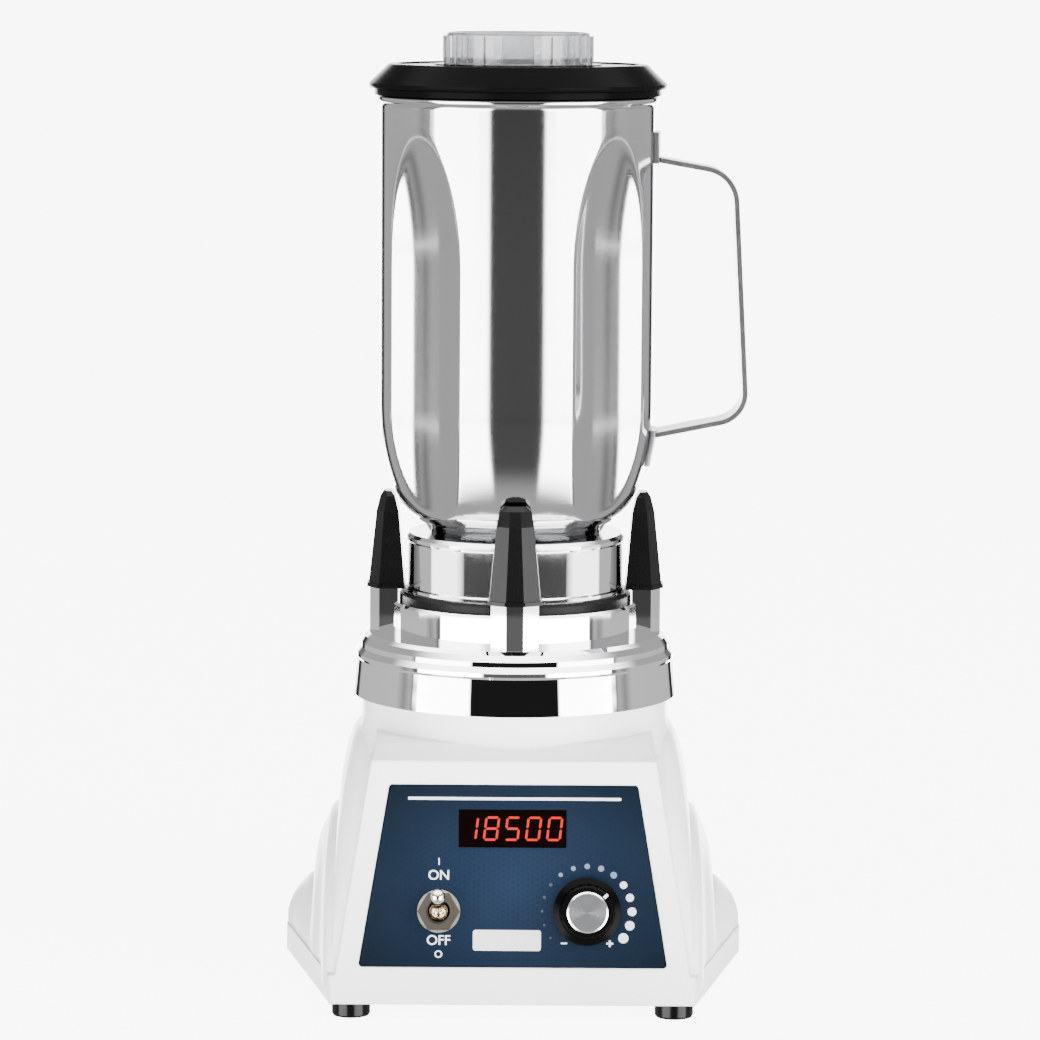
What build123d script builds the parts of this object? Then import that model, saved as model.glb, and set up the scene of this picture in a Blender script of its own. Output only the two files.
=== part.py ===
from build123d import *
import os
from math import asin, atan2, cos, degrees, radians, sin, tan

# Laboratory blender. Millimetres, +Z up, front towards -Y, handle towards +X.
# The origin is on the bench, under the axis of the jar and the motor.

os.makedirs("parts", exist_ok=True)

# Driving dimensions: base housing
bench_gap = 6.0                 # the feet hold the housing this far off the bench
housing_wall = 3.5
front_bottom_y = -89.3
rear_y = 103.5
front_half_width = 71.0         # at the housing's lower edge
front_top_half_width = 55.5     # at the ridge over the control panel
ridge_z = 98.9
ridge_front_y = -71.8
ridge_rear_y = 82.0
rear_upright_top_z = 52.0       # the rear wall is upright up to here, then slopes
deck_z = 103.5
widest_half_width = 92.6
skirt_top_z = 17.0
neck_radius = 61.5
neck_foot_radius = 66.5
neck_top_z = 124.0
neck_bore = 48.0

# Each side arch: where its rounded crest starts, how far out it bulges, the height of its
# upright face, how much higher its crest is, and how far its ends stand in from the skirt's.
side_arches = [
    {"start_x": 60.0, "bulge": 10.3, "face_z": 69.0, "crest": 34.0, "set_in": 0.3},
    {"start_x": 68.0, "bulge": 12.8, "face_z": 39.0, "crest": 28.0, "set_in": 1.6},
    {"start_x": 78.0, "bulge": 14.6, "face_z": 17.0, "crest": 20.5, "set_in": 2.9},
]

# Driving dimensions: collar, posts and jar
collar_bottom_z = 115.0
collar_skirt_radius = 65.1
collar_bore = 62.0
flange_z = 140.0
ring_radius = 49.5
ring_top_z = 152.4
pad_top_z = 156.5
pad_radius = 46.6
well_radius = 28.0
cap_bottom_z = 157.8
cap_tip_z = 196.5
jar_base_radius = 44.0
jar_floor_z = 180.0
jar_radius = 55.0
jar_top_z = 355.2
jar_wall = 1.2
handle_width = 20.0
handle_thickness = 2.0
lid_top_z = 367.5
lid_hole_radius = 25.0
lid_cap_radius = 30.0
total_height = 380.0

# Driving dimensions: motor and drive
shaft_radius = 4.0
bearing_radius = 11.0
bearing_width = 7.0
stator_radius = 44.0
stator_bore = 24.8
armature_radius = 24.2
stack_bottom_z = 50.0
stack_top_z = 94.0
bolt_circle = 40.8
blade_shaft_radius = 3.0

# Driving dimensions: controls, as places on the panel's own plane
display_x, display_z = -0.35, 73.2
display_width, display_height = 42.0, 14.8
toggle_x, toggle_z = -28.9, 41.6
toggle_throw = 15.0             # the lever stands this far either side of square
knob_x, knob_z = 28.8, 41.8
pointer_angle = 48.0            # clockwise from straight up, as the dial stands
panel_recess = 1.5
panel_thickness = 1.0

run_gap = 0.05                  # radial clearance of a shaft that turns in a bore

# Worked-out dimensions
panel_tilt = degrees(atan2(ridge_front_y - front_bottom_y, ridge_z - bench_gap))
body_mid_y = (front_bottom_y + rear_y) / 2
body_half_depth = (rear_y - front_bottom_y) / 2
deck_front_y = -58.0
deck_rear_y = 62.0


# General helpers
def rod(radius, low, high, x=0.0, y=0.0):
    up = (Align.CENTER, Align.CENTER, Align.MIN)
    return Pos(x, y, low) * Cylinder(radius, high - low, align=up)


def tube(outer, inner, low, high, x=0.0, y=0.0):
    return rod(outer, low, high, x, y) - rod(inner, low - 1, high + 1, x, y)


def brick(x0, x1, y0, y1, z0, z1):
    corner = (Align.MIN, Align.MIN, Align.MIN)
    return Pos(x0, y0, z0) * Box(x1 - x0, y1 - y0, z1 - z0, align=corner)


def turned(points):
    """A closed radius-height outline turned about the Z axis."""
    outline = make_face(Plane.XZ * Polyline(*points, close=True))
    return revolve(outline, Axis.Z, 360)


def sector(outer, inner, low, high, middle, spread):
    """A piece of a ring, spread degrees wide about the angle called middle."""
    outline = make_face(Polyline((inner, low), (outer, low), (outer, high), (inner, high), close=True))
    piece = revolve(Plane.XZ * outline, Axis.Z, spread)
    return Rot(0, 0, middle - spread / 2) * piece


def hexagon_prism(across_flats, low, high):
    outline = RegularPolygon(across_flats / 2, 6, major_radius=False)
    return extrude(Pos(0, 0, low) * outline, high - low)


def around(shape, count, first=0.0):
    """Copies of a shape, evenly spaced about the Z axis."""
    return [Rot(0, 0, first + 360 / count * i) * shape for i in range(count)]


def joined(shapes):
    result = shapes[0]
    for shape in shapes[1:]:
        result = result + shape
    return result


def separate(shapes):
    """Solids that stay apart in one node."""
    solids = []
    for shape in shapes:
        solids.extend(shape.solids())
    return Compound(children=solids)


def pan_screw(head_radius, head_height, shank_radius, length):
    """Head above the local origin, shank below it."""
    return rod(head_radius, 0, head_height) + rod(shank_radius, -length, 0.01)


# Where things stand on the tilted control panel
def panel_y(height):
    return front_bottom_y + (height - bench_gap) * tan(radians(panel_tilt))


def on_panel(x, height):
    """Frame on the housing's front face: local X is X, local Y up the panel, local Z out of it."""
    outward = (0, -cos(radians(panel_tilt)), sin(radians(panel_tilt)))
    return Plane(origin=(x, panel_y(height), height), x_dir=(1, 0, 0), z_dir=outward)


def panel_outline(inset):
    """The printed panel's trapezoid, on the front face's own plane."""
    low_z, high_z = 20.2, 90.0
    slope = cos(radians(panel_tilt))
    middle_z = (low_z + high_z) / 2
    half_height = (high_z - low_z) / 2 / slope
    corners = [(-60.2, -half_height), (60.2, -half_height), (48.5, half_height), (-48.5, half_height)]
    outline = fillet(Polygon(*corners, align=None).vertices(), 1.5)
    if inset:
        outline = offset(outline, -inset, kind=Kind.INTERSECTION)
    return on_panel(0, middle_z), outline


# Base housing
def skirt_reach(x):
    """Half the depth of the six-sided skirt at a distance x from the middle."""
    return body_half_depth * (widest_half_width - x) / (widest_half_width - front_half_width)


def skirt_outline():
    corners = []
    for x, y in [(-1, -1), (1, -1)]:
        corners.append((x * front_half_width, body_mid_y + y * body_half_depth))
    corners.append((widest_half_width, body_mid_y))
    for x, y in [(1, 1), (-1, 1)]:
        corners.append((x * front_half_width, body_mid_y + y * body_half_depth))
    corners.append((-widest_half_width, body_mid_y))
    return Polygon(*corners, align=None)


def side_slab(floor_z, inset):
    """The housing seen from the side, carried across its whole width."""
    floor_front_y = front_bottom_y + (floor_z - bench_gap) * tan(radians(panel_tilt))
    points = [
        (floor_front_y, floor_z),
        (ridge_front_y, ridge_z),
        (deck_front_y, deck_z),
        (deck_rear_y, deck_z),
        (ridge_rear_y, ridge_z),
        (rear_y, rear_upright_top_z),
        (rear_y, floor_z),
    ]
    outline = Polygon(*points, align=None)
    if inset:
        outline = offset(outline, -inset, kind=Kind.INTERSECTION)
    return extrude(Plane.YZ * outline, 120, both=True)


def front_slab(floor_z, inset):
    """The housing's middle block seen from the front, carried through its whole depth."""
    slope = (front_half_width - front_top_half_width) / (ridge_z - bench_gap)
    low = front_half_width + (bench_gap - floor_z) * slope
    high = front_top_half_width - (deck_z - ridge_z) * slope
    points = [(-low, floor_z), (low, floor_z), (high, deck_z + 0.01), (-high, deck_z + 0.01)]
    outline = Polygon(*points, align=None)
    if inset:
        outline = offset(outline, -inset, kind=Kind.INTERSECTION)
    return extrude(Plane.XZ * outline, 130, both=True)


def arch_section(x, half_span, height):
    """Half an ellipse that stands on the skirt, at a distance x from the middle."""
    foot_z = skirt_top_z - 6.0
    crown = EllipticalCenterArc((body_mid_y, skirt_top_z), half_span, height, 0, arc_size=180)
    left = Line((body_mid_y - half_span, skirt_top_z), (body_mid_y - half_span, foot_z))
    bottom = Line((body_mid_y - half_span, foot_z), (body_mid_y + half_span, foot_z))
    right = Line((body_mid_y + half_span, foot_z), (body_mid_y + half_span, skirt_top_z))
    outline = make_face(crown + left + bottom + right)
    return Plane(origin=(x, 0, 0), x_dir=(0, 1, 0), z_dir=(1, 0, 0)) * outline


def side_arch(arch, inset):
    """One nested arch: level inside the block, then falling over a rounded crest."""
    widest_span = body_half_depth - 5.0 - inset
    bulge = arch["bulge"] - inset
    face_height = max(arch["face_z"] - skirt_top_z - inset, 0.0)
    start_x = arch["start_x"]
    last_turn = 90.0 if face_height > 0 else 74.0
    sections = []
    steps = 5
    for i in range(steps + 1):
        turn = radians(last_turn * i / steps)
        x = start_x + bulge * sin(turn)
        height = face_height + arch["crest"] * cos(turn)
        if face_height == 0:
            height = (arch["crest"] - inset) * cos(turn)
        half_span = min(widest_span, skirt_reach(x + inset) - arch["set_in"] - inset * 1.2)
        sections.append(arch_section(x, max(half_span, 1.5), height))
    crest = loft(sections)
    inner = extrude(sections[0], start_x - 45.0, dir=(-1, 0, 0))
    return inner + crest


def housing_form(floor_z, inset):
    """The housing's outer form, or with an inset the form of the room inside it."""
    slab = side_slab(floor_z, inset)
    block = front_slab(floor_z, inset)
    skirt = skirt_outline()
    if inset:
        skirt = offset(skirt, -inset, kind=Kind.INTERSECTION)
    form = block + extrude(Pos(0, 0, floor_z) * skirt, skirt_top_z - inset - floor_z)
    for arch in side_arches:
        right = side_arch(arch, inset)
        form = form + right + mirror(right, Plane.YZ)
    return form & slab


foot_places = [(-63.0, -80.0), (63.0, -80.0), (-63.0, 94.0), (63.0, 94.0)]
plate_screw_places = [(-82.0, body_mid_y), (82.0, body_mid_y)]
collar_screw_circle = 53.0
inlet_x, inlet_z = -36.0, 32.0
inlet_width, inlet_height = 27.5, 20.0
display_screw_places = [(-27.0, -10.0), (27.0, -10.0), (-27.0, 10.0), (27.0, 10.0)]
display_boss_depth = 10.7
plate_top_z = bench_gap + 2.0
board_z = 16.0
board_thickness = 1.6
board_corners = [(-10.0, 54.0), (50.0, 54.0), (-10.0, 90.0), (50.0, 90.0)]
top_plate_z = 116.5
bottom_plate_z = 21.0


def base_housing():
    outer = housing_form(bench_gap, 0.0)
    room = housing_form(-10.0, housing_wall)

    # Neck that carries the collar, with a hollow curve at its foot
    foot_z, straight_z = 95.0, 108.0
    curve = ThreePointArc((neck_foot_radius, foot_z), (62.9, 100.4), (neck_radius, straight_z))
    side = Polyline((neck_radius, straight_z), (neck_radius, neck_top_z), (0, neck_top_z), (0, foot_z),
                    (neck_foot_radius, foot_z))
    neck = revolve(Plane.XZ * make_face(curve + side), Axis.Z, 360)
    shell = outer + neck
    shell = shell - room - rod(neck_radius - housing_wall, 80, neck_top_z - 3)
    shell = shell - rod(neck_bore, neck_top_z - 4, neck_top_z + 1)

    # Screw bosses inside
    for x, y in foot_places + plate_screw_places:
        shell = shell + (rod(5.5, 8, 28, x, y) & outer)
    for x, y in foot_places + plate_screw_places:
        shell = shell - rod(2.0, 7, 26, x, y)
    for screw_hole in around(rod(2.2, neck_top_z - 4, neck_top_z + 1, collar_screw_circle), 4, 45):
        shell = shell - screw_hole

    # Recess and holes of the control panel
    plane, outline = panel_outline(0.0)
    shell = shell - plane * extrude(Pos(0, 0, -panel_recess) * outline, panel_recess + 3)
    display = on_panel(display_x, display_z)
    for x, v in display_screw_places:
        boss = rod(3.2, -display_boss_depth, -housing_wall + 0.2, x, v)
        shell = shell + display * boss
        shell = shell - display * rod(1.55, -display_boss_depth - 1, -housing_wall - 0.5, x, v)
    shell = shell - display * Box(display_width + 0.2, display_height + 0.2, 30)
    shell = shell - on_panel(toggle_x, toggle_z) * Cylinder(6.1, 20)
    shell = shell - on_panel(knob_x, knob_z) * Cylinder(3.7, 20)

    # Rear: mains inlet and cooling slots narrower than a finger
    shell = shell - brick(inlet_x - 14, inlet_x + 14, 90, 110, inlet_z - 10.2, inlet_z + 10.2)
    for side in (-1, 1):
        screw_hole = Pos(inlet_x + side * 20, 100, inlet_z) * Rot(90, 0, 0) * Cylinder(1.6, 20)
        shell = shell - screw_hole
    for i in range(11):
        x = -35.0 + 7.0 * i
        shell = shell - brick(x - 1.5, x + 1.5, 70, 112, 60, 86)
    return shell


def base_plate():
    outline = offset(skirt_outline(), -(housing_wall + 0.4), kind=Kind.INTERSECTION)
    plate = extrude(Pos(0, 0, bench_gap) * outline, plate_top_z - bench_gap)
    plate = plate & side_slab(-10.0, housing_wall + 0.4)
    for x, y in foot_places + plate_screw_places:
        plate = plate - rod(2.1, bench_gap - 1, plate_top_z + 1, x, y)
    for i in range(9):
        x = -28.0 + 7.0 * i
        plate = plate - brick(x - 1.5, x + 1.5, -28, 28, 5, 9)
    for x, y in board_corners:
        plate = plate + tube(3.0, 1.55, plate_top_z, board_z, x, y)
    return plate


def feet():
    shapes = []
    for x, y in foot_places:
        foot = Pos(x, y, 0) * turned([(0, 0), (7.2, 0), (7.6, 0.8), (7.6, 6.0), (0, 6.0)])
        shapes.append(foot - rod(4.2, -1, 3, x, y) - rod(2.1, 2, 7, x, y))
    return separate(shapes)


def base_screws():
    """Four pass through the feet, two hold the plate's wide corners."""
    screw = Rot(180, 0, 0) * pan_screw(3.6, 1.9, 1.95, 18.0)
    through_feet = [Pos(x, y, 3.0) * screw for x, y in foot_places]
    in_plate = [Pos(x, y, bench_gap) * screw for x, y in plate_screw_places]
    return separate(through_feet + in_plate)


# Collar with its four posts
def post_section(z, inner, shoulder, outer, half_width, half_facet, inset):
    """Six-sided section of a post: flat inside, faceted outside. Local X is the radius."""
    points = [
        (inner + inset, -half_width + inset),
        (shoulder, -half_width + inset),
        (outer - inset, -half_facet),
        (outer - inset, half_facet),
        (shoulder, half_width - inset),
        (inner + inset, half_width - inset),
    ]
    return Pos(0, 0, z) * Polygon(*points, align=None)


def post_form(inset, low, high):
    """The faceted, tapering form of a rubber cap, or of the post inside it."""
    levels = [
        (cap_bottom_z, 44.3, 54.8, 59.1, 10.2, 3.6),
        (188.5, 46.9, 52.8, 55.9, 7.4, 2.4),
        (194.5, 48.4, 51.8, 54.4, 6.2, 2.0),
        (cap_tip_z, 49.9, 51.6, 53.0, 4.4, 1.4),
    ]
    if high < cap_tip_z:
        levels = levels[:2]
    sections = [post_section(*level, inset) for level in levels]
    form = loft(sections, ruled=True)
    return form & brick(30, 70, -20, 20, low, high)


def collar():
    body = turned([
        (collar_bore, collar_bottom_z), (collar_skirt_radius, collar_bottom_z), (63.8, 129.5),
        (64.3, 130.5), (64.3, 132.0), (62.6, 134.2), (62.4, 136.2), (61.0, 138.6), (59.2, flange_z),
        (ring_radius, flange_z), (ring_radius, ring_top_z - 1.0), (48.5, ring_top_z), (well_radius, ring_top_z),
        (well_radius, 140.0), (12.0, 140.0), (12.0, 136.0), (57.0, 136.0), (57.0, neck_top_z),
        (collar_bore, neck_top_z),
    ])
    groove = tube(45.0, 33.0, 135, 146)
    for rib in around(brick(25, 50, -8, 8, 130, 150), 4):
        groove = groove - rib
    body = body - groove

    # Posts, and the screw bosses under the flange
    foot = [post_section(z, 47.0, 54.6, 58.5, 9.4, 3.4, 0.0) for z in (138.0, cap_bottom_z)]
    post = loft(foot, ruled=True) + post_form(2.6, cap_bottom_z - 0.01, 186.0)
    body = body + joined(around(post, 4))
    body = body + joined(around(rod(4.6, neck_top_z, 137, collar_screw_circle), 4, 45))
    body = body + joined(around(rod(6.0, 127.5, 137, bolt_circle), 4))
    for hole in around(rod(2.0, 123, 137.6, collar_screw_circle), 4, 45):
        body = body - hole
    for hole in around(rod(2.0, 126, 134, bolt_circle), 4):
        body = body - hole
    return body


def post_caps():
    cap = post_form(0.0, cap_bottom_z, cap_tip_z)
    lip_levels = [
        (cap_bottom_z, 44.3, 55.2, 59.7, 10.8, 4.0),
        (cap_bottom_z + 1.6, 44.3, 55.2, 59.6, 10.7, 4.0),
    ]
    lip = loft([post_section(*level, 0.0) for level in lip_levels], ruled=True)
    cap = cap + lip
    cap = cap - post_form(2.5, cap_bottom_z - 0.02, 186.1)
    return separate(around(cap, 4))


def collar_screws():
    """Four hold the collar on the housing, four hang the motor from the collar."""
    screw = Rot(180, 0, 0) * pan_screw(3.5, 2.2, 1.95, 16.0)
    on_neck = around(Pos(collar_screw_circle, 0, neck_top_z - 3) * screw, 4, 45)
    on_motor = around(Pos(bolt_circle, 0, top_plate_z) * screw, 4)
    return separate(on_neck + on_motor)


def jar_seat_pad():
    return turned([(29.0, ring_top_z), (pad_radius, ring_top_z), (pad_radius, 155.3),
                   (pad_radius - 1.2, pad_top_z), (29.0, pad_top_z)])


# Controls on the panel
def control_panel():
    plane, outline = panel_outline(0.15)
    plate = plane * extrude(Pos(0, 0, -panel_recess) * outline, panel_thickness)
    plate = plate - on_panel(display_x, display_z) * Box(display_width, display_height, 20)
    plate = plate - on_panel(toggle_x, toggle_z) * Cylinder(6.1, 20)
    return plate - on_panel(knob_x, knob_z) * Cylinder(3.7, 20)


def display_window():
    window = Box(display_width - 0.2, display_height - 0.2, 2.3)
    return on_panel(display_x, display_z) * Pos(0, 0, -1.75) * window


def led_display():
    return on_panel(display_x, display_z) * Pos(0, 0, -7.1) * Box(46.0, 16.5, 7.0)


def display_board():
    board = Pos(0, 0, -display_boss_depth - board_thickness / 2) * Box(60.0, 26.0, board_thickness)
    for x, v in display_screw_places:
        board = board - Pos(x, v, -display_boss_depth) * Cylinder(1.6, 10)
    return on_panel(display_x, display_z) * board


toggle_pivot_depth = -1.0       # the lever's ball, measured from the housing's front face
toggle_mouth = 7.0
toggle_lever_length = 24.0
toggle_tip_radius = 2.9


def toggle_body():
    case = Pos(0, 0, -13.1) * Box(13.5, 28.5, 19.0) + rod(5.9, -housing_wall - 0.2, toggle_mouth)
    terminals = [Pos(0, v, -25.6) * Box(6.0, 0.8, 6.2) for v in (-9.0, 0.0, 9.0)]
    case = joined([case] + terminals)
    case = case - rod(4.7, -6.0, toggle_mouth + 1)
    return on_panel(toggle_x, toggle_z) * case


def toggle_washer():
    low = -panel_recess + panel_thickness
    ring = tube(8.35, 6.0, low, 0.3)
    return on_panel(toggle_x, toggle_z) * ring


def toggle_nut():
    nut = hexagon_prism(14.4, 0.3, 2.7) - Cylinder(6.0, 20)
    return on_panel(toggle_x, toggle_z) * nut


def toggle_lever():
    arm = revolve(make_face(Plane.XZ * Polyline((0, 0), (1.7, 0), (1.9, 8.0), (toggle_tip_radius, 20.0),
                                                (toggle_tip_radius, toggle_lever_length), (0, toggle_lever_length),
                                                close=True)), Axis.Z, 360)
    lever = arm + Sphere(4.3) + Pos(0, 0, toggle_lever_length) * Sphere(toggle_tip_radius)
    return on_panel(toggle_x, toggle_z) * Pos(0, 0, toggle_pivot_depth) * Rot(-toggle_throw, 0, 0) * lever


knob_base = 1.2
knob_face = 14.0


def speed_knob():
    body = turned([(0, knob_base), (12.7, knob_base), (13.15, knob_base + 0.6), (13.15, knob_base + 1.6),
                   (10.9, knob_base + 3.0), (10.2, knob_face - 0.8), (9.6, knob_face), (0, knob_face)])
    pointer_direction = 90 - pointer_angle
    for groove in around(rod(0.7, knob_base + 3.4, knob_face + 1, 11.0), 20, pointer_direction + 9):
        body = body - groove
    body = body - rod(8.5, 0, 4.6) - rod(3.1, 0, 12.6) - rod(8.05, knob_face - 0.6, knob_face + 1)
    slot = brick(-0.7, 0.7, 8.4, 14, knob_base + 2.8, knob_face + 1)
    body = body - Rot(0, 0, -pointer_angle) * slot
    return on_panel(knob_x, knob_z) * body


def knob_cap():
    disc = turned([(0, knob_face - 0.6), (7.95, knob_face - 0.6), (7.95, knob_face + 0.3),
                   (7.3, knob_face + 0.7), (0, knob_face + 0.7)])
    return on_panel(knob_x, knob_z) * disc


def knob_pointer():
    """A white line let into the knob's face and down its side."""
    bar = brick(-0.6, 0.6, 8.5, 9.7, knob_face - 3, knob_face + 0.15)
    side = brick(-0.6, 0.6, 9.6, 10.4, knob_base + 4.2, knob_face - 1.0)
    pointer = bar + side
    return on_panel(knob_x, knob_z) * Rot(0, 0, -pointer_angle) * pointer


def pot_shaft():
    return on_panel(knob_x, knob_z) * rod(3.0, -8.0, 12.4)


def potentiometer():
    case = rod(8.2, -11.5, -housing_wall - 0.1) + rod(3.5, -housing_wall - 0.2, 3.0)
    case = case + joined([brick(x - 1, x + 1, -15, -6, -9.0, -8.2) for x in (-5.0, 0.0, 5.0)])
    return on_panel(knob_x, knob_z) * (case - rod(3.0 + run_gap, -8.3, 4))


def pot_nut():
    nut = hexagon_prism(10.0, -panel_recess + panel_thickness, 1.6) - Cylinder(3.6, 20)
    return on_panel(knob_x, knob_z) * nut


# Motor, fixed half
def bracket_plate(low, high):
    plate = rod(46.0, low, high)
    for window in around(sector(35.0, 18.0, low - 1, high + 1, 0, 58), 4, 45):
        plate = plate - window
    return plate


def top_bracket():
    body = bracket_plate(top_plate_z, top_plate_z + 3) + rod(15.0, top_plate_z, 129.5)
    body = body + joined(around(rod(4.5, stack_top_z, top_plate_z + 1, bolt_circle), 4, 45))
    body = body - rod(bearing_radius + run_gap, 121.0, 131) - rod(7.0, 110, 131)
    for hole in around(rod(2.1, 90, 125, bolt_circle), 8):
        body = body - hole
    return body


def bottom_bracket():
    body = bracket_plate(bottom_plate_z, bottom_plate_z + 3) + rod(15.0, 19.0, 29.0)
    body = body + joined(around(rod(4.5, bottom_plate_z, stack_bottom_z, bolt_circle), 4, 45))
    body = body - rod(bearing_radius + run_gap, 18, 27.0) - rod(7.0, 18, 31)
    for hole in around(rod(2.1, 18, 52, bolt_circle), 4, 45):
        body = body - hole
    for side in (-1, 1):
        body = body - Pos(side * 29.0, 0, 22) * Cylinder(1.6, 10)
    return body


def motor_bearings():
    bearings = []
    for low in (20.0, 121.0):
        ring = tube(bearing_radius, shaft_radius + run_gap, low, low + bearing_width)
        for face in (low - 1, low + bearing_width - 0.8):
            ring = ring - tube(8.8, 6.2, face, face + 1.8)
        bearings.append(ring)
    return separate(bearings)


def stator_core():
    core = tube(stator_radius, stator_bore, stack_bottom_z, stack_top_z)
    core = core & brick(-50, 50, -41.5, 41.5, 0, 200)
    for middle in (0, 180):
        core = core - sector(37.5, 20.0, stack_bottom_z - 1, stack_top_z + 1, middle, 72)
    for hole in around(rod(2.1, 40, 100, bolt_circle), 4, 45):
        core = core - hole
    return core


def field_coils():
    """Two coils, each a closed loop over the end of one pole."""
    low, high = 41.0, 102.0
    coils = []
    for middle in (90, 270):
        loop = sector(36.0, 27.0, stack_top_z + 0.3, high, middle, 152)
        loop = loop + sector(36.0, 27.0, low, stack_bottom_z - 0.3, middle, 152)
        for side in (-1, 1):
            loop = loop + sector(36.0, 27.0, low, high, middle + side * 67, 18)
        coils.append(loop)
    return separate(coils)


def motor_bolts():
    bolt = rod(3.5, 17.5, bottom_plate_z) + rod(2.0, bottom_plate_z - 0.01, 122.0)
    nut = hexagon_prism(7.0, top_plate_z + 3, top_plate_z + 6.2)
    bolt = Pos(bolt_circle, 0, 0) * (bolt + (nut - rod(2.0, 100, 130)))
    return separate(around(bolt, 4, 45))


brush_z = 38.0


def brush_holders():
    """Two tubes that point at the commutator, each on a foot on the lower bracket."""
    holders = []
    for side in (0, 180):
        guide = brick(14.0, 34.0, -4.5, 4.5, brush_z - 6.0, brush_z + 6.0)
        guide = guide - brick(13.0, 32.5, -2.6, 2.6, brush_z - 4.1, brush_z + 4.1)
        foot = brick(25.0, 33.0, -4.5, 4.5, bottom_plate_z + 3, brush_z - 5.9)
        foot = foot - rod(1.5, 20, 31, 29.0)
        holders.append(Rot(0, 0, side) * (guide + foot))
    return separate(holders)


def brushes():
    brush = brick(12.35, 24.0, -2.5, 2.5, brush_z - 4.0, brush_z + 4.0)
    brush = brush - rod(12.35, 30, 46)
    return separate(around(brush, 2))


def brush_springs():
    """A coil spring behind each brush, one unbroken wire."""
    coils = []
    for side in (0, 180):
        path = Helix(pitch=1.5, height=6.0, radius=1.5)
        start = path @ 0
        section = Plane(origin=start, z_dir=path % 0) * Circle(0.28)
        coil = sweep(section, path=path, is_frenet=True)
        coils.append(Rot(0, 0, side) * Pos(25.2, 0, brush_z) * Rot(0, 90, 0) * coil)
    return separate(coils)


def vibration_mounts():
    mount = tube(6.0, 2.1, top_plate_z + 3, 127.5)
    return separate(around(Pos(bolt_circle, 0, 0) * mount, 4))


def speed_sensor():
    stalk = brick(11.4, 13.6, -3.0, 3.0, 12.5, 19.0)
    return Rot(0, 0, 45) * stalk


# Motor, turning half
def motor_shaft():
    return rod(shaft_radius, 12.0, 152.0)


def tach_magnet():
    return tube(9.0, shaft_radius + 0.02, 12.0, 17.0)


def armature_core():
    core = tube(armature_radius, shaft_radius + 0.02, stack_bottom_z, stack_top_z)
    slot = brick(17.5, armature_radius - 1.5, -1.4, 1.4, stack_bottom_z - 1, stack_top_z + 1)
    mouth = brick(18, armature_radius + 1, -0.6, 0.6, stack_bottom_z - 1, stack_top_z + 1)
    for cut in around(slot + mouth, 12):
        core = core - cut
    return core


def armature_windings():
    """The wound ends over and under the core, and the wire that fills its slots."""
    over = turned([(7.0, stack_top_z + 0.2), (21.5, stack_top_z + 0.2), (22.0, 97.5), (19.0, 101.0), (7.0, 102.0)])
    under = turned([(7.0, 46.0), (17.0, 46.2), (21.5, 47.2), (21.5, stack_bottom_z - 0.2),
                    (7.0, stack_bottom_z - 0.2)])
    wire = brick(17.7, armature_radius - 1.7, -1.2, 1.2, stack_bottom_z - 0.3, stack_top_z + 0.3)
    return joined([over, under] + around(wire, 12))


def commutator():
    body = tube(12.0, shaft_radius + 0.02, 31.0, 45.5)
    for cut in around(brick(11.2, 13, -0.2, 0.2, 30, 44), 24):
        body = body - cut
    return body


def cooling_fan():
    fan = tube(33.5, shaft_radius + 0.02, 104.5, 106.0) + tube(9.0, shaft_radius + 0.02, 104.5, 114.5)
    blade = Rot(0, 0, 14) * brick(12.0, 33.0, -0.7, 0.7, 105.9, 114.0)
    return fan + joined(around(blade, 12))


stud_top_z = 163.0
hex_stud = 11.0


def drive_coupling():
    hub = turned([(0, 142.0), (13.0, 142.0), (13.0, 144.5), (9.0, 146.5), (0, 146.5)])
    stud = hexagon_prism(hex_stud, 146.0, stud_top_z)
    return hub + stud - rod(shaft_radius + 0.02, 140, 152.0)


# Jar
inner_floor_z = jar_floor_z + jar_wall
floor_edge_radius = 34.5
heel = Vector(37.0, 184.0)      # where the floor's edge meets the tight arc
shoulder = Vector(48.5, 197.0)  # where the tight arc meets the long one
wall_foot_z = 232.0             # the wall is straight above this height
groove_radius = 45.0
groove_depth = 7.0
groove_start_z = 345.0          # where a flute runs out into the wall
groove_full_z = 285.0           # full depth from here down
shaft_hole_radius = 9.2


def jar_outline(inset):
    """Half outline of the jar: flat floor, tight arc, long arc that runs into the straight wall."""
    tuck = jar_radius - shoulder.X
    drop = wall_foot_z - shoulder.Y
    long_radius = (tuck ** 2 + drop ** 2) / (2 * tuck)
    long_centre = Vector(jar_radius - long_radius, wall_foot_z)
    outward = (shoulder - long_centre).normalized()
    chord = shoulder - heel
    tight_radius = chord.dot(chord) / (2 * chord.dot(outward))
    tight_centre = shoulder - outward * tight_radius
    downward = (heel - tight_centre).normalized()
    at_shoulder = degrees(atan2(outward.Y, outward.X))
    at_heel = degrees(atan2(downward.Y, downward.X))

    long_arc = CenterArc((long_centre.X, wall_foot_z), long_radius - inset, at_shoulder, -at_shoulder)
    tight_arc = CenterArc((tight_centre.X, tight_centre.Y), tight_radius - inset, at_heel, at_shoulder - at_heel)
    floor_z = jar_floor_z + inset
    top_z = jar_top_z + 2 * inset
    wall = jar_radius - inset
    floor_edge = floor_edge_radius - 0.56 * inset
    start = heel - downward * inset
    low = Polyline((0, floor_z), (floor_edge, floor_z), (start.X, start.Y))
    rest = Polyline((wall, wall_foot_z), (wall, top_z), (0, top_z), (0, floor_z))
    return make_face(low + tight_arc + long_arc + rest)


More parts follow.
